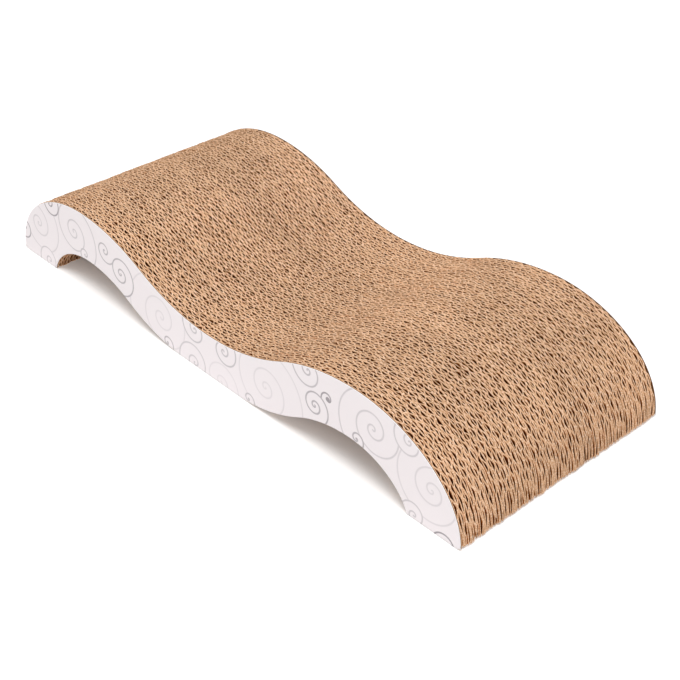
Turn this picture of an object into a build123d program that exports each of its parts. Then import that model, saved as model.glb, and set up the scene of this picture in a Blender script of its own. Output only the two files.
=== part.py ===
from build123d import *
import math
import os

# A wave-shaped cat scratcher: corrugated boards stand on edge and are glued face to face across the
# width, between two printed side panels, all cut to one side outline. Millimetres, +Z up, origin on the
# floor under the middle, +X along the length, the photographed panel on the -Y side.

# Overall sizes
length = 460.0
hump_height = 66.0
valley_height = 33.0

# Upper side of the outline: a valley at mid length, a hump near each end and a rounded drop to the floor
hump_setback = 87.5  # from each end to the crown of its hump
valley_share = 0.52  # of the valley's and the hump's radii together, the part that is the valley's

# Underside: a flat foot at each end, one in the middle, and an arch under each hump
end_foot_length = 42.5
middle_foot_length = 50.5
arch_height = 28.3
arch_inset = 49.5  # from the end foot to the crown of the arch
arch_sink = 10.6  # how far below the floor the curve beside the end foot has its center
middle_share = 0.58  # of the two radii between the middle foot and the crown, the part beside the foot

# Boards: a flat liner carries upright flutes, whose crests are glued to the next board's liner.
# The real board is double-wall, with two finer rows of flutes; here they are one row of wide ones,
# so that the model stays light.
board_count = 35
board_thickness = 5.2
liner_thickness = 1.0
flute_count = 24
end_cut_shares = (0.5, 0.8)  # extra cuts in the last half flute, where the outline drops steeply

# Printed side panels
panel_thickness = 0.9

overrun = 1.0  # how far a cutting shape reaches past what it cuts

# Worked out from the sizes above
half_length = length / 2
crown_of_hump = half_length - hump_setback
edge_of_middle = middle_foot_length / 2
edge_of_foot = half_length - end_foot_length
crown_of_arch = edge_of_foot - arch_inset
block_width = board_count * board_thickness
half_flute = half_length / flute_count


def swell(low_x, low_z, crown_x, crown_z, low_share, sink, end_x):
    """Finds the curves of half a wave: up from a low point, over a crown and down to the floor at end_x.

    Two arcs that touch make the rise, level at both ends. Part of an ellipse makes the drop, level at
    the crown, with its center below the floor by sink, so that it meets the floor steeply. Each curve
    is its start and end in x, its center, its two radii, and -1 for a hollow or 1 for a crown.
    """
    run = crown_x - low_x
    slope = 2 * math.atan2(crown_z - low_z, run)
    both_radii = run / math.sin(slope)
    low_radius = both_radii * low_share
    crown_radius = both_radii - low_radius
    rise_end = low_x + low_radius * math.sin(slope)
    drop_height = crown_z + sink
    drop_reach = (end_x - crown_x) / math.sqrt(1 - (sink / drop_height) ** 2)
    return (
        (low_x, rise_end, (low_x, low_z + low_radius), (low_radius, low_radius), -1),
        (rise_end, crown_x, (crown_x, crown_z - crown_radius), (crown_radius, crown_radius), 1),
        (crown_x, end_x, (crown_x, -sink), (drop_reach, drop_height), 1),
    )


def height(wave, x):
    """Gives the height of a half wave at x."""
    for start, end, center, radii, side in wave:
        if x <= end:
            break
    away = (x - center[0]) / radii[0]
    return center[1] + side * radii[1] * math.sqrt(1 - away**2)


def draw_curves(wave):
    """Draws a half wave as true curves."""
    rise, crown, drop = wave
    for start, end, center, radii, side in (rise, crown):
        ThreePointArc(*((x, height(wave, x)) for x in (start, (start + end) / 2, end)))
    start, end, center, radii, side = drop
    at_floor = math.degrees(math.asin(-center[1] / radii[1]))
    EllipticalCenterArc(center, *radii, start_angle=at_floor, arc_size=90 - at_floor)


def draw_chords(wave, stations):
    """Draws a half wave as straight cuts from station to station."""
    start, end = wave[0][0], wave[-1][1]
    inner = [x for x in stations if start < x < end]
    Polyline(*((x, height(wave, x)) for x in (start, *inner)), (end, 0))


def fluted_plan(near_y, first_crest):
    """Gives the corners of a board's plan: a flat liner at near_y, with flutes that rise to its far face."""
    far_y = near_y + board_thickness
    root_y = near_y + liner_thickness
    corners = []
    for flute in range(flute_count + 2):
        crest_x = first_crest + flute * 2 * half_flute
        corners.append((crest_x, far_y))
        corners.append((crest_x + half_flute, root_y))
    corners.append((corners[-1][0], near_y))
    corners.append((corners[0][0], near_y))
    return corners


upper = swell(0, valley_height, crown_of_hump, hump_height, valley_share, 0, half_length)
under = swell(edge_of_middle, 0, crown_of_arch, arch_height, middle_share, arch_sink, edge_of_foot)

# The side outline as the panels are cut to it, drawn from mid length outwards and mirrored
with BuildSketch() as panel_outline:
    with BuildLine():
        draw_curves(upper)
        Line((half_length, 0), (edge_of_foot, 0))
        draw_curves(under)
        Line((edge_of_middle, 0), (0, 0))
        mirror(about=Plane.YZ)
    make_face()

# The same outline as the boards have it, in straight cuts that run from flute to flute
cuts = [step * half_flute for step in range(flute_count)]
cuts += [half_length - half_flute * (1 - share) for share in end_cut_shares]
with BuildSketch() as board_outline:
    with BuildLine():
        draw_chords(upper, cuts)
        Line((half_length, 0), (edge_of_foot, 0))
        draw_chords(under, cuts)
        Line((edge_of_middle, 0), (0, 0))
        mirror(about=Plane.YZ)
    make_face()

os.makedirs("parts", exist_ok=True)

# Corrugated boards, from the near side to the far side, with the flutes of every second one half a
# pitch along, so that the cells of neighbouring boards are staggered
for number in range(board_count):
    near_face = -block_width / 2 + number * board_thickness
    crest_start = -half_length - half_flute * (1 + number % 2)
    with BuildPart() as board:
        with BuildSketch(Plane.XZ.offset(-near_face)):
            add(board_outline.sketch)
        extrude(amount=-board_thickness)
        with BuildSketch(Plane.XY.offset(-overrun)):
            with BuildLine():
                Polyline(*fluted_plan(near_face, crest_start), close=True)
            make_face()
        extrude(amount=hump_height + 2 * overrun, mode=Mode.INTERSECT)
    board.part.label = f"board_{number + 1:02d}"
    export_step(board.part, f"parts/{board.part.label}.step")

# Printed side panels, glued flat over the first and the last board
for side, inner_face, outward in (("near", -block_width / 2, 1), ("far", block_width / 2, -1)):
    with BuildPart() as panel:
        with BuildSketch(Plane.XZ.offset(-inner_face)):
            add(panel_outline.sketch)
        extrude(amount=outward * panel_thickness)
    panel.part.label = f"side_panel_{side}"
    export_step(panel.part, f"parts/{panel.part.label}.step")
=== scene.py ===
import math
import random

import bpy
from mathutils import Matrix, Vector
from mathutils.bvhtree import BVHTree


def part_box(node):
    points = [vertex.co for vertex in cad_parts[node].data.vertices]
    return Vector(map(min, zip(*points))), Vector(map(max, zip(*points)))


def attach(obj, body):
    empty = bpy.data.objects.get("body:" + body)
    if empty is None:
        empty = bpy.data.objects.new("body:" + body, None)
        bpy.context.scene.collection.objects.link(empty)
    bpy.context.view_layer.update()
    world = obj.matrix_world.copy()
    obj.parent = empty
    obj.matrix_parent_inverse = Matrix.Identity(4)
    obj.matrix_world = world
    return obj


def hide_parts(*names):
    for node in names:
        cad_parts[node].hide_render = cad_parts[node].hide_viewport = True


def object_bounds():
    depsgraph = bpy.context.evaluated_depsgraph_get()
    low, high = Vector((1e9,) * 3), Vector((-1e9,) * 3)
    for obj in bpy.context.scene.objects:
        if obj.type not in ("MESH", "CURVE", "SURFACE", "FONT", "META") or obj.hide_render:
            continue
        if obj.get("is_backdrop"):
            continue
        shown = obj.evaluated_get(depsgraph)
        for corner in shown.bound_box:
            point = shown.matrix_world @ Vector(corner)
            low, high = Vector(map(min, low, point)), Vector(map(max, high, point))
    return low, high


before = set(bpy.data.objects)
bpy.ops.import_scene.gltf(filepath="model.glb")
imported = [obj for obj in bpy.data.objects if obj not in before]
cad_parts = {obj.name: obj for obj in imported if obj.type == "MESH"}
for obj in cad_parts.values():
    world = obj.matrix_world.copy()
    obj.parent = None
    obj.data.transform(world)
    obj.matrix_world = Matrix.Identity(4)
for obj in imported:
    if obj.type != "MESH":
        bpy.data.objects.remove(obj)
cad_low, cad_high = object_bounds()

# Corrugated boards. Strips of brown double-wall board stand on edge along the length and are glued face to
# face. Each is a liner, a coarse fluted medium, a second liner and a fine medium, die-cut to the wave, so
# that the open cells are the scratching surface and turn into slits where the ends drop to the floor.
mm = 0.001
board_nodes = sorted(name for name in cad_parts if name.startswith("board_"))
coarse_pitch = 7.54 * mm  # C flute
fine_pitch = 6.13 * mm  # B flute
columns_per_flute = 7
liner_step = 4 * mm
end_columns = (0.06 * mm, 0.2 * mm, 0.6 * mm, 1.4 * mm, 2.6 * mm)  # extra ones, this far in from each end
arch_columns = (-0.1 * mm, 0.0, 0.3 * mm, 0.9 * mm, 2.0 * mm)  # and this far past the sole at each end
top_rows = (0.0, 0.6 * mm, 1.8 * mm, 6.0 * mm)  # how far the rows lie below the upper cut
under_rows = (0.0, 2.0 * mm)  # how far the rows lie above the lower cut
top_row_shares = (0.0, 0.12, 0.3, 0.5)  # the most of the sheet's height that a row may take up
under_row_shares = (0.0, 0.3)
outline_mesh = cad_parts["side_panel_near"].data
outline = BVHTree.FromPolygons(
    [vertex.co for vertex in outline_mesh.vertices],
    [polygon.vertices for polygon in outline_mesh.polygons],
)
outline_y = sum(corner.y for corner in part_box("side_panel_near")) / 2
reach = 2 * cad_high.z
heel_round = 4 * mm  # the radius of the worn lower corner at each end
thinnest = 0.1 * mm  # the least height of a sheet
search_step = 0.05 * mm


def cut_heights(x):
    """Reads the heights of the upper and lower cut at x from the CAD side panel, and rounds its heels."""
    upper = outline.ray_cast(Vector((x, outline_y, reach)), Vector((0, 0, -1)))[0].z
    lower = outline.ray_cast(Vector((x, outline_y, -reach)), Vector((0, 0, 1)))[0].z
    to_end = min(x - cad_low.x, cad_high.x - x)
    if to_end < heel_round:
        lower = heel_round - math.sqrt(heel_round**2 - (heel_round - to_end) ** 2)
    return upper, min(lower, upper - thinnest)


sole_length = heel_round
while cut_heights(cad_low.x + sole_length)[1] < thinnest:
    sole_length += search_step


def columns_along(step):
    """Spaces columns along the length, closer together where the ends and the arches are steep."""
    count = round((cad_high.x - cad_low.x) / step)
    columns = [cad_low.x + step * number for number in range(1, count)]
    for inset in (*end_columns, *(sole_length + past for past in arch_columns)):
        columns += [cad_low.x + inset, cad_high.x - inset]
    return sorted(columns)


def wave_sheet(columns):
    """Makes the points and faces of a flat sheet cut to the wave, and how far each point lies from a cut."""
    cuts = [cut_heights(x) for x in columns]
    points, faces, below = [], [], []
    row_count = len(top_rows) + len(under_rows)
    for number, x in enumerate(columns):
        before, after = max(number - 1, 0), min(number + 1, len(columns) - 1)
        run = columns[after] - columns[before]
        upper, lower = cuts[number]
        upper_lean = math.hypot(1, (cuts[after][0] - cuts[before][0]) / run)
        lower_lean = math.hypot(1, (cuts[after][1] - cuts[before][1]) / run)
        drops = [
            min(depth * upper_lean, share * (upper - lower))
            for depth, share in zip(top_rows, top_row_shares)
        ]
        rises = [
            min(depth * lower_lean, share * (upper - lower))
            for depth, share in zip(under_rows, under_row_shares)
        ]
        heights = [upper - drop for drop in drops] + [lower + rise for rise in reversed(rises)]
        for z in heights:
            points.append((x, 0, z))
            below.append(min((upper - z) / upper_lean, (z - lower) / lower_lean))
    sheet_size = len(points)
    for side_start, turn in ((0, 1), (sheet_size, -1)):
        for column in range(len(columns) - 1):
            for row in range(row_count - 1):
                corner = side_start + column * row_count + row
                faces.append((corner, corner + 1, corner + 1 + row_count, corner + row_count)[::turn])
    rim = [column * row_count for column in range(len(columns))]
    rim += [rim[-1] + row for row in range(1, row_count)]
    rim += [column * row_count + row_count - 1 for column in reversed(range(len(columns) - 1))]
    rim += [row for row in reversed(range(1, row_count - 1))]
    for here, there in zip(rim, rim[1:] + rim[:1]):
        faces.append((here, there, there + sheet_size, here + sheet_size))
    return points * 2, faces, below * 2


sheet_columns = (
    columns_along(liner_step),
    columns_along(coarse_pitch / columns_per_flute),
    columns_along(liner_step),
    columns_along(fine_pitch / columns_per_flute),
)
points, faces, belows, sides, sheets = [], [], [], [], []
for sheet, columns in enumerate(sheet_columns):
    sheet_points, sheet_faces, sheet_below = wave_sheet(columns)
    faces += [tuple(corner + len(points) for corner in face) for face in sheet_faces]
    points += sheet_points
    belows += sheet_below
    sides += [-1.0] * (len(sheet_points) // 2) + [1.0] * (len(sheet_points) // 2)
    sheets += [sheet] * len(sheet_points)
blank = bpy.data.meshes.new("board blank")
blank.from_pydata(points, [], faces)
for name, kind, values in (("below", "FLOAT", belows), ("side", "FLOAT", sides), ("sheet", "INT", sheets)):
    blank.attributes.new(name, kind, "POINT").data.foreach_set("value", values)


def add(tree, kind, inputs=None, **settings):
    """Adds a node with its settings. An input is a value, a socket, or a node for its first output."""
    node = tree.nodes.new(kind)
    for name, value in settings.items():
        setattr(node, name, value)
    for key, value in (inputs or {}).items():
        if isinstance(value, bpy.types.Node):
            value = value.outputs[0]
        if isinstance(value, bpy.types.NodeSocket):
            tree.links.new(value, node.inputs[key])
        else:
            node.inputs[key].default_value = value
    return node


def linear(code):
    """Turns an sRGB hex colour into linear RGBA."""
    channels = [int(code[place : place + 2], 16) / 255 for place in (1, 3, 5)]
    return (*(c / 12.92 if c <= 0.04045 else ((c + 0.055) / 1.055) ** 2.4 for c in channels), 1.0)


# Kraft paper, cut across: the cut edge is pale and furry with torn fibre, whose palest specks are partly a
# painted highlight where fibres catch light. The walls of the cells are smoother and browner, with painted
# shade that darkens them the deeper they lie. Faint lighter and darker patches a hand wide run over all the
# boards: partly smudges, partly painted light and shade on the slopes.
fibre_size = 0.9 * mm
# Smudges and painted light and shade: lighter and darker patches of this size run over all the boards.
smudge_and_light_size = 80 * mm
smudge_and_light_pattern = 95.09  # which of the noise's patterns
# Painted shade: the walls of the cells are darkest this far below the cut.
painted_shade_depth = 4 * mm  # where the walls are darkest
# Torn fibre and a painted highlight: pale specks show down to this depth below the cut.
torn_fibre_and_highlight_depth = 0.5 * mm  # how far torn fibre shows
fur_height = 0.25 * mm
kraft = bpy.data.materials.new("kraft paper, cut edge")
kraft.use_nodes = True
tree = kraft.node_tree
surface = tree.nodes["Principled BSDF"]
surface.inputs["Roughness"].default_value = 0.92
surface.inputs["Specular IOR Level"].default_value = 0.03
place = add(tree, "ShaderNodeTexCoord").outputs["Object"]
depth = add(tree, "ShaderNodeAttribute", attribute_name="below").outputs["Fac"]
tone = add(tree, "ShaderNodeAttribute", attribute_name="tone").outputs["Fac"]
fibre = add(tree, "ShaderNodeTexNoise", {"Vector": place, "Scale": 1 / fibre_size, "Detail": 3.0})
smudge_and_light_noise = add(
    tree,
    "ShaderNodeTexNoise",
    {"Vector": place, "W": smudge_and_light_pattern, "Scale": 1 / smudge_and_light_size, "Detail": 3.0, "Roughness": 0.6},
    noise_dimensions="4D",
)
# Painted shade: the wall colour darkens with depth below the cut, standing in for the shade deep in the
# cells.
painted_shade_share = add(tree, "ShaderNodeMapRange", {"Value": depth, "From Max": painted_shade_depth})
wall_and_painted_shade = add(tree, "ShaderNodeValToRGB", {"Fac": painted_shade_share})
stops = wall_and_painted_shade.color_ramp.elements
stops[0].color = linear("#EAB88E")
stops[1].color = linear("#321001")
for share, code in ((0.05, "#DC9F67"), (0.12, "#9E561E"), (0.24, "#6A2A03"), (0.5, "#481A02")):
    stops.new(share).color = linear(code)
# Pale torn fibre near the cut: partly real fibre, partly a painted highlight where fibres catch light.
torn_fibre_and_highlight_fade = add(
    tree,
    "ShaderNodeMapRange",
    {"Value": depth, "From Max": torn_fibre_and_highlight_depth, "To Min": 0.75, "To Max": 0.0},
)
torn_fibre_and_highlight = add(tree, "ShaderNodeMapRange", {"Value": fibre, "From Min": 0.48, "From Max": 0.66})
torn_fibre_and_highlight = add(tree, "ShaderNodeMath", {0: torn_fibre_and_highlight, 1: torn_fibre_and_highlight_fade}, operation="MULTIPLY")
wall_and_painted_shade = add(
    tree,
    "ShaderNodeMix",
    {"Factor": torn_fibre_and_highlight, "A": wall_and_painted_shade.outputs["Color"], "B": linear("#FADEC5")},
    data_type="RGBA",
)
speckle = add(
    tree,
    "ShaderNodeMapRange",
    {"Value": fibre, "From Min": 0.3, "From Max": 0.7, "To Min": 0.8, "To Max": 1.15},
)
# Painted light and shade, partly smudges: the patches lighten and darken the kraft across the slopes.
stain_and_painted_light = add(
    tree,
    "ShaderNodeMapRange",
    {"Value": smudge_and_light_noise, "From Min": 0.3, "From Max": 0.7, "To Min": 1.02, "To Max": 0.835},
)
shade = add(tree, "ShaderNodeMath", {0: speckle, 1: stain_and_painted_light}, operation="MULTIPLY")
shade = add(tree, "ShaderNodeMath", {0: shade, 1: tone}, operation="MULTIPLY")
colour = add(tree, "ShaderNodeVectorMath", {0: wall_and_painted_shade.outputs["Result"], "Scale": shade}, operation="SCALE")
tree.links.new(colour.outputs[0], surface.inputs["Base Color"])
fur = add(tree, "ShaderNodeBump", {"Strength": 0.5, "Distance": fur_height, "Height": fibre})
tree.links.new(fur.outputs[0], surface.inputs["Normal"])

# Rule of the corrugated board: liner, coarse flutes, liner, fine flutes. The flutes are waves across their
# room, uneven from flute to flute, and every sheet is bent and frayed near the cut.
wander_size = 26 * mm  # the length over which the flutes drift along the board
slack_size = 7 * mm  # over which they are fuller or flatter
dent_size = 6 * mm  # over which they are bent at the cut
sway_size = 16 * mm  # over which a liner is bent there
fray_size = 3 * mm
notch_size = 2.5 * mm
crush_depth = 5 * mm  # how far below the cut a sheet is bent
burr_depth = 1.8 * mm  # how far below the cut it is thickened by torn fibre
cut_depth = 0.05 * mm  # what lies within this of the cut is the cut edge
rule = bpy.data.node_groups.new("corrugated board", "GeometryNodeTree")
rule.interface.new_socket("Geometry", in_out="OUTPUT", socket_type="NodeSocketGeometry")
sockets = {}
for name, kind in (
    ("Blank", "Geometry"),
    ("Near Face", "Float"),
    ("Board Thickness", "Float"),
    ("Glued Liner", "Float"),
    ("Middle Liner", "Float"),
    ("Medium", "Float"),
    ("Coarse Share", "Float"),
    ("Coarse Pitch", "Float"),
    ("Fine Pitch", "Float"),
    ("Phase", "Float"),
    ("Wander", "Float"),
    ("Slack", "Float"),
    ("Crush", "Float"),
    ("Ragged Cut", "Float"),
    ("Burr", "Float"),
    ("Tone", "Float"),
    ("Seed", "Float"),
    ("Shift", "Float"),
    ("Paper", "Material"),
):
    socket = rule.interface.new_socket(name, in_out="INPUT", socket_type=f"NodeSocket{kind}")
    sockets[name] = socket.identifier
given = add(rule, "NodeGroupInput").outputs
spot = add(rule, "GeometryNodeInputPosition")
across = add(rule, "ShaderNodeSeparateXYZ", {0: spot}).outputs
below = add(rule, "GeometryNodeInputNamedAttribute", {"Name": "below"}, data_type="FLOAT")
side = add(rule, "GeometryNodeInputNamedAttribute", {"Name": "side"}, data_type="FLOAT")
sheet = add(rule, "GeometryNodeInputNamedAttribute", {"Name": "sheet"}, data_type="INT")
along = add(rule, "ShaderNodeCombineXYZ", {"X": across["X"]})


def uneven(size, detail, vector, seed_step):
    """Adds noise from -1 to 1, with features of a size in metres, that differs from board to board."""
    seed = add(rule, "ShaderNodeMath", {0: given["Seed"], 1: seed_step}, operation="ADD")
    noise = add(
        rule,
        "ShaderNodeTexNoise",
        {"Vector": vector, "W": seed, "Scale": 1 / size, "Detail": detail},
        noise_dimensions="4D",
    )
    return add(
        rule,
        "ShaderNodeMapRange",
        {"Value": noise, "From Min": 0.25, "From Max": 0.75, "To Min": -1.0, "To Max": 1.0},
    )


near_cut = add(
    rule,
    "ShaderNodeMapRange",
    {"Value": below, "From Min": 0.0, "From Max": crush_depth, "To Min": 1.0, "To Max": 0.0},
    interpolation_type="SMOOTHSTEP",
)
bend = add(rule, "ShaderNodeMath", {0: near_cut, 1: given["Crush"]}, operation="MULTIPLY")


def flutes(pitch, start, room, seed_step):
    """Adds a row of flutes in the room behind start. Gives its place in y and how aslant it is cut."""
    turns = add(rule, "ShaderNodeMath", {0: across["X"], 1: pitch}, operation="DIVIDE")
    turns = add(rule, "ShaderNodeMath", {0: turns, 1: given["Phase"]}, operation="ADD")
    drift = uneven(wander_size, 1.0, along, seed_step)
    turns = add(rule, "ShaderNodeMath", {0: drift, 1: given["Wander"], 2: turns}, operation="MULTIPLY_ADD")
    angle = add(rule, "ShaderNodeMath", {0: turns, 1: math.tau}, operation="MULTIPLY")
    swing = add(rule, "ShaderNodeMath", {0: angle}, operation="SINE")
    least = add(rule, "ShaderNodeMath", {0: 1.0, 1: given["Slack"]}, operation="SUBTRACT")
    fullness = add(
        rule,
        "ShaderNodeMapRange",
        {"Value": uneven(slack_size, 1.0, along, seed_step + 31.0), "From Min": -1.0, "To Min": least},
    )
    swing = add(rule, "ShaderNodeMath", {0: swing, 1: fullness}, operation="MULTIPLY")
    throw = add(rule, "ShaderNodeMath", {0: room, 1: given["Medium"]}, operation="SUBTRACT")
    throw = add(rule, "ShaderNodeMath", {0: throw, 1: 0.5}, operation="MULTIPLY")
    centre = add(rule, "ShaderNodeMath", {0: room, 1: 0.5, 2: start}, operation="MULTIPLY_ADD")
    place_y = add(rule, "ShaderNodeMath", {0: swing, 1: throw, 2: centre}, operation="MULTIPLY_ADD")
    bent = uneven(dent_size, 1.0, spot, seed_step + 57.0)
    place_y = add(rule, "ShaderNodeMath", {0: bent, 1: bend, 2: place_y}, operation="MULTIPLY_ADD")
    steep = add(rule, "ShaderNodeMath", {0: angle}, operation="COSINE")
    steep = add(rule, "ShaderNodeMath", {0: steep, 1: throw}, operation="MULTIPLY")
    steep = add(rule, "ShaderNodeMath", {0: steep, 1: math.tau}, operation="MULTIPLY")
    steep = add(rule, "ShaderNodeMath", {0: steep, 1: pitch}, operation="DIVIDE")
    steep = add(rule, "ShaderNodeMath", {0: steep, 1: steep, 2: 1.0}, operation="MULTIPLY_ADD")
    steep = add(rule, "ShaderNodeMath", {0: steep}, operation="SQRT")
    return place_y, steep


def liner(start, thickness, seed_step):
    """Adds a flat liner behind start, and gives its place in y."""
    place_y = add(rule, "ShaderNodeMath", {0: thickness, 1: 0.5, 2: start}, operation="MULTIPLY_ADD")
    sway = add(rule, "ShaderNodeMath", {0: bend, 1: 0.5}, operation="MULTIPLY")
    bent = uneven(sway_size, 1.0, spot, seed_step)
    return add(rule, "ShaderNodeMath", {0: bent, 1: sway, 2: place_y}, operation="MULTIPLY_ADD")


papers = add(rule, "ShaderNodeMath", {0: given["Glued Liner"], 1: given["Middle Liner"]}, operation="ADD")
open_room = add(rule, "ShaderNodeMath", {0: given["Board Thickness"], 1: papers}, operation="SUBTRACT")
coarse_room = add(rule, "ShaderNodeMath", {0: open_room, 1: given["Coarse Share"]}, operation="MULTIPLY")
fine_room = add(rule, "ShaderNodeMath", {0: open_room, 1: coarse_room}, operation="SUBTRACT")
coarse_start = add(rule, "ShaderNodeMath", {0: given["Near Face"], 1: given["Glued Liner"]}, operation="ADD")
middle_start = add(rule, "ShaderNodeMath", {0: coarse_start, 1: coarse_room}, operation="ADD")
fine_start = add(rule, "ShaderNodeMath", {0: middle_start, 1: given["Middle Liner"]}, operation="ADD")
glued_y = liner(given["Near Face"], given["Glued Liner"], 83.0)
coarse_y, coarse_steep = flutes(given["Coarse Pitch"], coarse_start, coarse_room, 0.0)
middle_y = liner(middle_start, given["Middle Liner"], 97.0)
fine_y, fine_steep = flutes(given["Fine Pitch"], fine_start, fine_room, 7.0)
coarse_across = add(rule, "ShaderNodeMath", {0: given["Medium"], 1: coarse_steep}, operation="MULTIPLY")
fine_across = add(rule, "ShaderNodeMath", {0: given["Medium"], 1: fine_steep}, operation="MULTIPLY")
chosen = []
for choices in (
    (glued_y, coarse_y, middle_y, fine_y),
    (given["Glued Liner"], coarse_across, given["Middle Liner"], fine_across),
):
    choice = add(rule, "GeometryNodeIndexSwitch", data_type="FLOAT")
    for extra in choices[2:]:
        choice.index_switch_items.new()
    rule.links.new(sheet.outputs[0], choice.inputs["Index"])
    for number, option in enumerate(choices):
        socket = option if isinstance(option, bpy.types.NodeSocket) else option.outputs[0]
        rule.links.new(socket, choice.inputs[1 + number])
    chosen.append(choice)
sheet_y, thickness = chosen
lip = add(
    rule,
    "ShaderNodeMapRange",
    {"Value": below, "From Min": 0.0, "From Max": burr_depth, "To Min": given["Burr"], "To Max": 0.0},
)
fray = add(
    rule,
    "ShaderNodeMapRange",
    {"Value": uneven(fray_size, 2.0, spot, 19.0), "From Min": -1.0, "To Min": 0.0, "To Max": 2.0},
)
thickness = add(rule, "ShaderNodeMath", {0: lip, 1: fray, 2: thickness}, operation="MULTIPLY_ADD")
half_thickness = add(rule, "ShaderNodeMath", {0: thickness, 1: 0.5}, operation="MULTIPLY")
sheet_y = add(rule, "ShaderNodeMath", {0: side, 1: half_thickness, 2: sheet_y}, operation="MULTIPLY_ADD")
far_face = add(rule, "ShaderNodeMath", {0: given["Near Face"], 1: given["Board Thickness"]}, operation="ADD")
sheet_y = add(rule, "ShaderNodeClamp", {"Value": sheet_y, "Min": given["Near Face"], "Max": far_face})
at_cut = add(rule, "ShaderNodeMath", {0: below, 1: cut_depth}, operation="LESS_THAN")
notch = add(rule, "ShaderNodeMath", {0: at_cut, 1: given["Ragged Cut"]}, operation="MULTIPLY")
jagged = uneven(notch_size, 2.0, spot, 11.0)
sheet_z = add(rule, "ShaderNodeMath", {0: jagged, 1: notch, 2: across["Z"]}, operation="MULTIPLY_ADD")
sheet_z = add(rule, "ShaderNodeMath", {0: sheet_z, 1: 0.0}, operation="MAXIMUM")
sheet_x = add(rule, "ShaderNodeMath", {0: across["X"], 1: given["Shift"]}, operation="ADD")
moved = add(rule, "ShaderNodeCombineXYZ", {"X": sheet_x, "Y": sheet_y, "Z": sheet_z})
closed = add(rule, "GeometryNodeSetPosition", {"Geometry": given["Blank"], "Position": moved})
toned = add(
    rule,
    "GeometryNodeStoreNamedAttribute",
    {"Geometry": closed, "Name": "tone", "Value": given["Tone"]},
    data_type="FLOAT",
    domain="POINT",
)
real = add(rule, "GeometryNodeRealizeInstances", {"Geometry": toned})
papered = add(rule, "GeometryNodeSetMaterial", {"Geometry": real, "Material": given["Paper"]})
add(rule, "NodeGroupOutput", {"Geometry": papered})

chance = random.Random(5)
stacking = random.Random(8)
for number, node in enumerate(board_nodes):
    low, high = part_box(node)
    board = bpy.data.objects.new(f"kraft_{node}", blank)
    bpy.context.scene.collection.objects.link(board)
    modifier = board.modifiers.new("corrugated board", "NODES")
    modifier.node_group = rule
    for name, value in (
        ("Near Face", low.y),
        ("Board Thickness", high.y - low.y),
        ("Glued Liner", 0.5 * mm),
        ("Middle Liner", 0.55 * mm),
        ("Medium", 0.5 * mm),
        ("Coarse Share", 0.57),
        ("Coarse Pitch", coarse_pitch),
        ("Fine Pitch", fine_pitch),
        ("Phase", chance.random()),
        ("Wander", 0.3),
        ("Slack", 0.15),
        ("Crush", 0.8 * mm),
        ("Ragged Cut", 0.5 * mm),
        ("Burr", 0.4 * mm),
        ("Tone", chance.uniform(0.97, 1.03)),
        ("Seed", float(number * 3)),
        ("Shift", stacking.uniform(-0.5, 0.5) * mm),
        ("Paper", kraft),
    ):
        modifier[sockets[name]] = value
    graph = bpy.context.evaluated_depsgraph_get()
    board.data = bpy.data.meshes.new_from_object(board.evaluated_get(graph))
    board.modifiers.clear()
    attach(board, "root")
    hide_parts(node)


# Side panels. Thin paperboard, white in front and brown behind, printed with grey scrolls on its outer face,
# die-cut to the wave and glued flat over the first and the last corrugated board. Its cut edge shows as a
# white and a brown line.
panel_step = 2 * mm
edge_round = 0.15 * mm
white_share = 0.55  # of the panel's thickness
panel_columns = columns_along(panel_step)
panel_cuts = [cut_heights(x) for x in panel_columns]
ring = [(x, cut[0]) for x, cut in zip(panel_columns, panel_cuts)]
ring += [(x, cut[1]) for x, cut in reversed(list(zip(panel_columns, panel_cuts)))]
inner_ring = []
for number, (x, z) in enumerate(ring):
    before, after = ring[number - 1], ring[(number + 1) % len(ring)]
    run, rise = after[0] - before[0], after[1] - before[1]
    inset = edge_round / math.hypot(run, rise)
    inner_ring.append((x + rise * inset, z - run * inset))

# White coated paperboard, offset printed: a smooth, slightly lilac white with a dull sheen. The scrolls are
# thin grey lines, and where two of them meet, one lies in front of the other.
line_core = 0.35 * mm  # from the middle of a line to where its ink thins out
line_edge = 0.90 * mm
dot_soft = 0.3 * mm
growth = 2.0  # how much faster than evenly the turns of a scroll widen
tooth_size = 0.8 * mm
tooth_height = 0.05 * mm
printed = bpy.data.materials.new("white paperboard, printed")
printed.use_nodes = True
scroll = bpy.data.node_groups.new("printed scroll", "ShaderNodeTree")
for name, kind in (
    ("Place", "Vector"),
    ("Behind", "Float"),
    ("Centre", "Vector"),
    ("Reach", "Float"),
    ("Turns", "Float"),
    ("Hand", "Float"),
    ("Start", "Float"),
    ("Dot", "Float"),
    ("Ink", "Float"),
):
    scroll.interface.new_socket(name, in_out="INPUT", socket_type=f"NodeSocket{kind}")
scroll.interface.new_socket("Ink", in_out="OUTPUT", socket_type="NodeSocketFloat")
given = add(scroll, "NodeGroupInput").outputs
away = add(scroll, "ShaderNodeVectorMath", {0: given["Place"], 1: given["Centre"]}, operation="SUBTRACT")
across = add(scroll, "ShaderNodeSeparateXYZ", {0: away}).outputs
radius = add(scroll, "ShaderNodeVectorMath", {0: away}, operation="LENGTH").outputs["Value"]
bearing = add(scroll, "ShaderNodeMath", {0: across["Z"], 1: across["X"]}, operation="ARCTAN2")
bearing = add(scroll, "ShaderNodeMath", {0: bearing, 1: given["Hand"]}, operation="MULTIPLY")
lap = add(
    scroll,
    "ShaderNodeMath",
    {0: bearing, 1: 1 / math.tau, 2: given["Start"]},
    operation="MULTIPLY_ADD",
)
lap = add(scroll, "ShaderNodeMath", {0: lap}, operation="FRACT")
share = add(scroll, "ShaderNodeMath", {0: radius, 1: given["Reach"]}, operation="DIVIDE")
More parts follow.
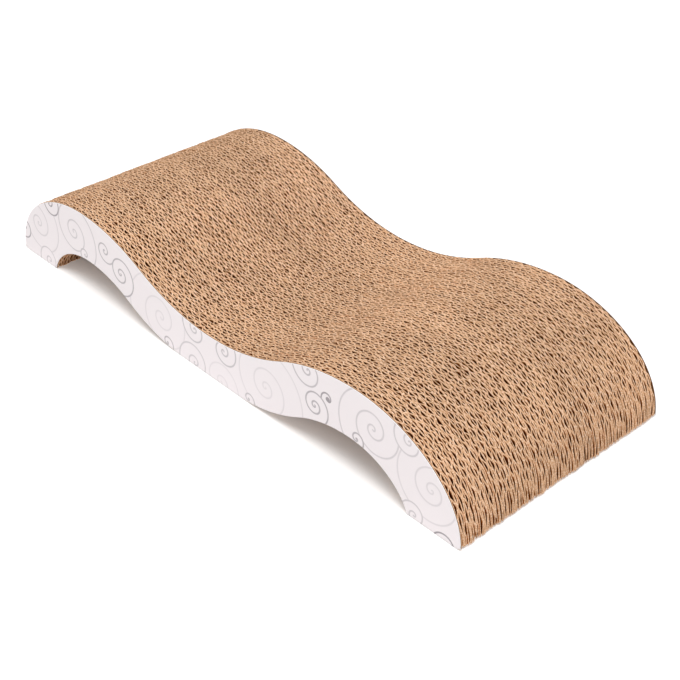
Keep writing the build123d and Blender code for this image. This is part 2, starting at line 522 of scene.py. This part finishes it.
wound = add(scroll, "ShaderNodeMath", {0: share, 1: 1 / growth}, operation="POWER")
wound = add(scroll, "ShaderNodeMath", {0: wound, 1: given["Turns"]}, operation="MULTIPLY")
turn = add(scroll, "ShaderNodeMath", {0: wound, 1: lap}, operation="SUBTRACT")
nearest = add(scroll, "ShaderNodeMath", {0: turn}, operation="ROUND")
aside = add(scroll, "ShaderNodeMath", {0: turn, 1: nearest}, operation="SUBTRACT")
aside = add(scroll, "ShaderNodeMath", {0: aside}, operation="ABSOLUTE")
widening = add(scroll, "ShaderNodeMath", {0: radius, 1: wound}, operation="DIVIDE")
aside = add(scroll, "ShaderNodeMath", {0: aside, 1: widening}, operation="MULTIPLY")
aside = add(scroll, "ShaderNodeMath", {0: aside, 1: growth}, operation="MULTIPLY")
line = add(
    scroll,
    "ShaderNodeMapRange",
    {"Value": aside, "From Min": line_core, "From Max": line_edge, "To Min": 1.0, "To Max": 0.0},
)
last = add(scroll, "ShaderNodeMath", {0: given["Turns"], 1: lap}, operation="SUBTRACT")
last = add(scroll, "ShaderNodeMath", {0: last}, operation="FLOOR")
past_end = add(scroll, "ShaderNodeMath", {0: nearest, 1: last}, operation="GREATER_THAN")
before_start = add(scroll, "ShaderNodeMath", {0: nearest, 1: -0.5}, operation="LESS_THAN")
drawn = add(scroll, "ShaderNodeMath", {0: past_end, 1: before_start}, operation="MAXIMUM")
drawn = add(scroll, "ShaderNodeMath", {0: 1.0, 1: drawn}, operation="SUBTRACT")
line = add(scroll, "ShaderNodeMath", {0: line, 1: drawn}, operation="MULTIPLY")
dot_edge = add(scroll, "ShaderNodeMath", {0: given["Dot"], 1: dot_soft}, operation="ADD")
dot = add(
    scroll,
    "ShaderNodeMapRange",
    {"Value": radius, "From Min": given["Dot"], "From Max": dot_edge, "To Min": 1.0, "To Max": 0.0},
)
line = add(scroll, "ShaderNodeMath", {0: line, 1: dot}, operation="MAXIMUM")
inside = add(scroll, "ShaderNodeMath", {0: turn, 1: last}, operation="LESS_THAN")
covers = add(scroll, "ShaderNodeMath", {0: inside, 1: line}, operation="MAXIMUM")
own = add(scroll, "ShaderNodeMath", {0: line, 1: given["Ink"]}, operation="MULTIPLY")
result = add(scroll, "ShaderNodeMix", {"Factor": covers, "A": given["Behind"], "B": own}, data_type="FLOAT")
add(scroll, "NodeGroupOutput", {"Ink": result})
tree = printed.node_tree
surface = tree.nodes["Principled BSDF"]
surface.inputs["Roughness"].default_value = 0.5
surface.inputs["Specular IOR Level"].default_value = 0.3
place = add(tree, "ShaderNodeTexCoord").outputs["Object"]
flat = add(tree, "ShaderNodeVectorMath", {0: place, 1: (1.0, 0.0, 1.0)}, operation="MULTIPLY")
ink = 0.0
# Places and sizes are in millimetres, and the bearing of a scroll's outer end is in degrees.
for x, z, size, turns, hand, end, dot, strength in (
    (-204, 33, 29, 3.3, 1, 50, 0, 0.27),
    (-51, 22, 38, 3.5, 1, 207, 0, 0.18),
    (60, 23, 38, 3.5, -1, 320, 0, 0.19),
    (206, 30, 30, 3.3, -1, 130, 0, 0.23),
    (13, 2, 22, 2.9, -1, 265, 0, 0.16),
    (-154, 46, 33, 3.4, -1, 250, 0, 0.38),
    (158, 46, 32, 3.4, 1, 235, 0, 0.34),
    (-195, 4, 16, 2.6, 1, 275, 0, 0.42),
    (-15, 3, 21, 2.9, 1, 280, 0, 0.40),
    (101, 58, 18, 2.7, -1, 75, 0, 0.52),
    (187, 54, 15, 2.6, -1, 80, 0, 0.36),
    (193, 3, 14, 2.6, 1, 280, 0, 0.40),
    (-13, 31, 15, 2.7, -1, 95, 0, 0.46),
    (18, 29, 15, 2.7, 1, 85, 0, 0.50),
    (-184, 58, 15, 2.6, 1, 100, 1, 0.80),
    (-227, 21, 13, 2.4, -1, 170, 0, 0.75),
    (-142, 32, 8, 1.8, 1, 280, 0, 0.50),
    (-115, 47, 11, 2.2, 1, -30, 0, 0.60),
    (-97, 36, 18, 2.8, -1, 262, 0, 0.64),
    (-46, 4, 9, 1.8, -1, 265, 1, 0.60),
    (119, 46, 7, 1.6, 1, 230, 2, 0.85),
    (107, 35, 14, 2.8, -1, 290, 0, 0.66),
    (144, 31, 8, 1.9, -1, 270, 1, 0.66),
    (42, 4, 8, 1.8, -1, 270, 1, 0.50),
    (219, -4, 14, 2.2, 1, 270, 0, 0.85),
):
    ink = add(
        tree,
        "ShaderNodeGroup",
        {
            "Place": flat,
            "Behind": ink,
            "Centre": (x * mm, 0.0, z * mm),
            "Reach": size * mm,
            "Turns": turns,
            "Hand": hand,
            "Start": turns - hand * end / 360,
            "Dot": dot * mm - dot_soft,
            "Ink": strength,
        },
        node_tree=scroll,
    )
colour = add(
    tree,
    "ShaderNodeMix",
    {"Factor": ink, "A": linear("#F8F0F1"), "B": linear("#8C8489")},
    data_type="RGBA",
)
tree.links.new(colour.outputs["Result"], surface.inputs["Base Color"])
tooth = add(tree, "ShaderNodeTexNoise", {"Vector": place, "Scale": 1 / tooth_size, "Detail": 2.0})
grain = add(tree, "ShaderNodeBump", {"Strength": 0.15, "Distance": tooth_height, "Height": tooth})
tree.links.new(grain.outputs[0], surface.inputs["Normal"])

# Paperboard, cut: bare fibre, white near the printed face, and brown with glue behind.
bare_fibre_size = 0.7 * mm
bare_boards = []
for name, dark, light in (
    ("white paperboard, cut edge", "#EFE9E6", "#FDFBFA"),
    ("brown paperboard, glued back", "#4E2A10", "#8A5A33"),
):
    bare_board = bpy.data.materials.new(name)
    bare_board.use_nodes = True
    tree = bare_board.node_tree
    surface = tree.nodes["Principled BSDF"]
    surface.inputs["Roughness"].default_value = 0.85
    surface.inputs["Specular IOR Level"].default_value = 0.1
    place = add(tree, "ShaderNodeTexCoord").outputs["Object"]
    fibre = add(tree, "ShaderNodeTexNoise", {"Vector": place, "Scale": 1 / bare_fibre_size, "Detail": 3.0})
    colour = add(
        tree, "ShaderNodeMix", {"Factor": fibre, "A": linear(dark), "B": linear(light)}, data_type="RGBA"
    )
    tree.links.new(colour.outputs["Result"], surface.inputs["Base Color"])
    bare_boards.append(bare_board)

for side_name, outward in (("near", -1), ("far", 1)):
    low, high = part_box(f"side_panel_{side_name}")
    outer_y, glued_y = (low.y, high.y) if outward < 0 else (high.y, low.y)
    points = [(x, outer_y, z) for x, z in inner_ring]
    white_y = outer_y + white_share * (glued_y - outer_y)
    for y in (outer_y - outward * edge_round, white_y, glued_y):
        points += [(x, y, z) for x, z in ring]
    size = len(ring)
    faces = []
    papers = []
    for column in range(len(panel_columns) - 1):
        corners = (column, column + 1, size - 2 - column, size - 1 - column)
        faces.append(corners[::outward])
        faces.append(tuple(corner + 3 * size for corner in corners[::-outward]))
        papers += [0, 2]
    for level, paper in enumerate((1, 1, 2)):
        for here in range(size):
            there = (here + 1) % size
            quad = (here, there, size + there, size + here)
            faces.append(tuple(level * size + corner for corner in quad[::-outward]))
            papers.append(paper)
    mesh = bpy.data.meshes.new(f"printed side panel {side_name}")
    mesh.from_pydata(points, [], faces)
    for material in (printed, *bare_boards):
        mesh.materials.append(material)
    mesh.polygons.foreach_set("material_index", papers)
    panel = bpy.data.objects.new(f"printed_panel_{side_name}", mesh)
    bpy.context.scene.collection.objects.link(panel)
    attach(panel, "root")
    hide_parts(f"side_panel_{side_name}")


# Studio floor: seamless white paper, which keeps the object's shadow. It is lit up a little where it is
# seen, as in the photograph, but not deep under the arches, and farther off it is plain white. It can't be
# seen from below, and it lets light through to the soles that stand on it.
floor_reach = 8.0
floor_z = -0.1 * mm
floor_fade = 40 * mm  # how far in from the object's edges it is lit up less and less
floor_lift = 0.25
white_start = 0.6  # from here outwards it turns white
white_full = 2.0
touch_full = 0.3 * mm  # light that comes from as near as this goes through
touch_end = 3 * mm
edges_x = [-floor_reach, cad_low.x, cad_low.x + floor_fade, cad_high.x - floor_fade, cad_high.x, floor_reach]
edges_y = [-floor_reach, cad_low.y, cad_low.y + floor_fade, cad_high.y - floor_fade, cad_high.y, floor_reach]
floor_points = []
lifts = []
for row, y in enumerate(edges_y):
    for column, x in enumerate(edges_x):
        floor_points.append((x, y, floor_z))
        deep_under = row in (2, 3) and column in (2, 3)
        lifts.append(0.0 if deep_under else floor_lift)
floor_faces = []
for row in range(len(edges_y) - 1):
    for column in range(len(edges_x) - 1):
        corner = row * len(edges_x) + column
        floor_faces.append((corner, corner + 1, corner + 1 + len(edges_x), corner + len(edges_x)))
floor_mesh = bpy.data.meshes.new("paper floor")
floor_mesh.from_pydata(floor_points, [], floor_faces)
floor_mesh.attributes.new("lift", "FLOAT", "POINT").data.foreach_set("value", lifts)
floor = bpy.data.objects.new("studio_floor", floor_mesh)
bpy.context.scene.collection.objects.link(floor)
paper = bpy.data.materials.new("white seamless paper")
paper.use_nodes = True
tree = paper.node_tree
surface = tree.nodes["Principled BSDF"]
surface.inputs["Base Color"].default_value = linear("#FAFAFA")
surface.inputs["Roughness"].default_value = 0.9
surface.inputs["Specular IOR Level"].default_value = 0.0
surface.inputs["Emission Color"].default_value = (1.0, 1.0, 1.0, 1.0)
place = add(tree, "ShaderNodeTexCoord").outputs["Object"]
away = add(tree, "ShaderNodeVectorMath", {0: place}, operation="LENGTH").outputs["Value"]
far_lift = add(tree, "ShaderNodeMapRange", {"Value": away, "From Min": white_start, "From Max": white_full})
near_lift = add(tree, "ShaderNodeAttribute", attribute_name="lift").outputs["Fac"]
lift = add(tree, "ShaderNodeMath", {0: near_lift, 1: far_lift}, operation="ADD")
ray = add(tree, "ShaderNodeLightPath").outputs
seen = add(tree, "ShaderNodeMath", {0: ray["Is Camera Ray"], 1: ray["Is Glossy Ray"]}, operation="MAXIMUM")
seen = add(tree, "ShaderNodeMath", {0: seen, 1: ray["Is Transmission Ray"]}, operation="MAXIMUM")
lift = add(tree, "ShaderNodeMath", {0: lift, 1: seen}, operation="MULTIPLY")
tree.links.new(lift.outputs[0], surface.inputs["Emission Strength"])
below = add(tree, "ShaderNodeNewGeometry").outputs["Backfacing"]
touching = add(
    tree,
    "ShaderNodeMapRange",
    {"Value": ray["Ray Length"], "From Min": touch_end, "From Max": touch_full},
)
through = add(tree, "ShaderNodeMath", {0: below, 1: touching}, operation="MAXIMUM")
clear = add(tree, "ShaderNodeBsdfTransparent")
shown = add(tree, "ShaderNodeMixShader", {0: through, 1: surface, 2: clear})
tree.links.new(shown.outputs[0], tree.nodes["Material Output"].inputs["Surface"])
floor_mesh.materials.append(paper)
floor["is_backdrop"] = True

# Studio light: a large soft lamp overhead and an even white surround, which is plain white where it is seen.
surround_level = 0.5
lamp_side = 1.4
world = bpy.data.worlds.new("white surround")
bpy.context.scene.world = world
world.use_nodes = True
tree = world.node_tree
sky = tree.nodes["Background"]
ray = add(tree, "ShaderNodeLightPath").outputs
seen = add(tree, "ShaderNodeMath", {0: ray["Is Camera Ray"], 1: ray["Is Glossy Ray"]}, operation="MAXIMUM")
seen = add(tree, "ShaderNodeMath", {0: seen, 1: ray["Is Transmission Ray"]}, operation="MAXIMUM")
level = add(tree, "ShaderNodeMapRange", {"Value": seen, "To Min": surround_level, "To Max": 1.0})
sky.inputs["Color"].default_value = (1.0, 1.0, 1.0, 1.0)
tree.links.new(level.outputs[0], sky.inputs["Strength"])
lamp_data = bpy.data.lights.new("overhead softbox", "AREA")
lamp_data.shape = "RECTANGLE"
lamp_data.size = lamp_side
lamp_data.size_y = lamp_side
lamp_data.energy = 62.0
lamp = bpy.data.objects.new("overhead softbox", lamp_data)
lamp.location = (0.6, -0.8, 3.0)
lamp.rotation_euler = (-lamp.location).to_track_quat("-Z", "Y").to_euler()
bpy.context.scene.collection.objects.link(lamp)

# Camera at the photograph's place, as fitted to the panel's outline.
camera_dip = 0.603489531  # how far it looks down from level, in radians
camera_turn = 0.825933569  # how far it is turned about the vertical
camera_data = bpy.data.cameras.new("camera")
camera_data.lens = 69.506
camera_data.sensor_width = 36.0
camera = bpy.data.objects.new("camera", camera_data)
camera.location = (0.58349, -0.51025, 0.52015)
camera.rotation_euler = (math.pi / 2 - camera_dip, 0, camera_turn)
bpy.context.scene.collection.objects.link(camera)
bpy.context.scene.camera = camera
bpy.context.scene.view_settings.view_transform = "Standard"

low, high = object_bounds()
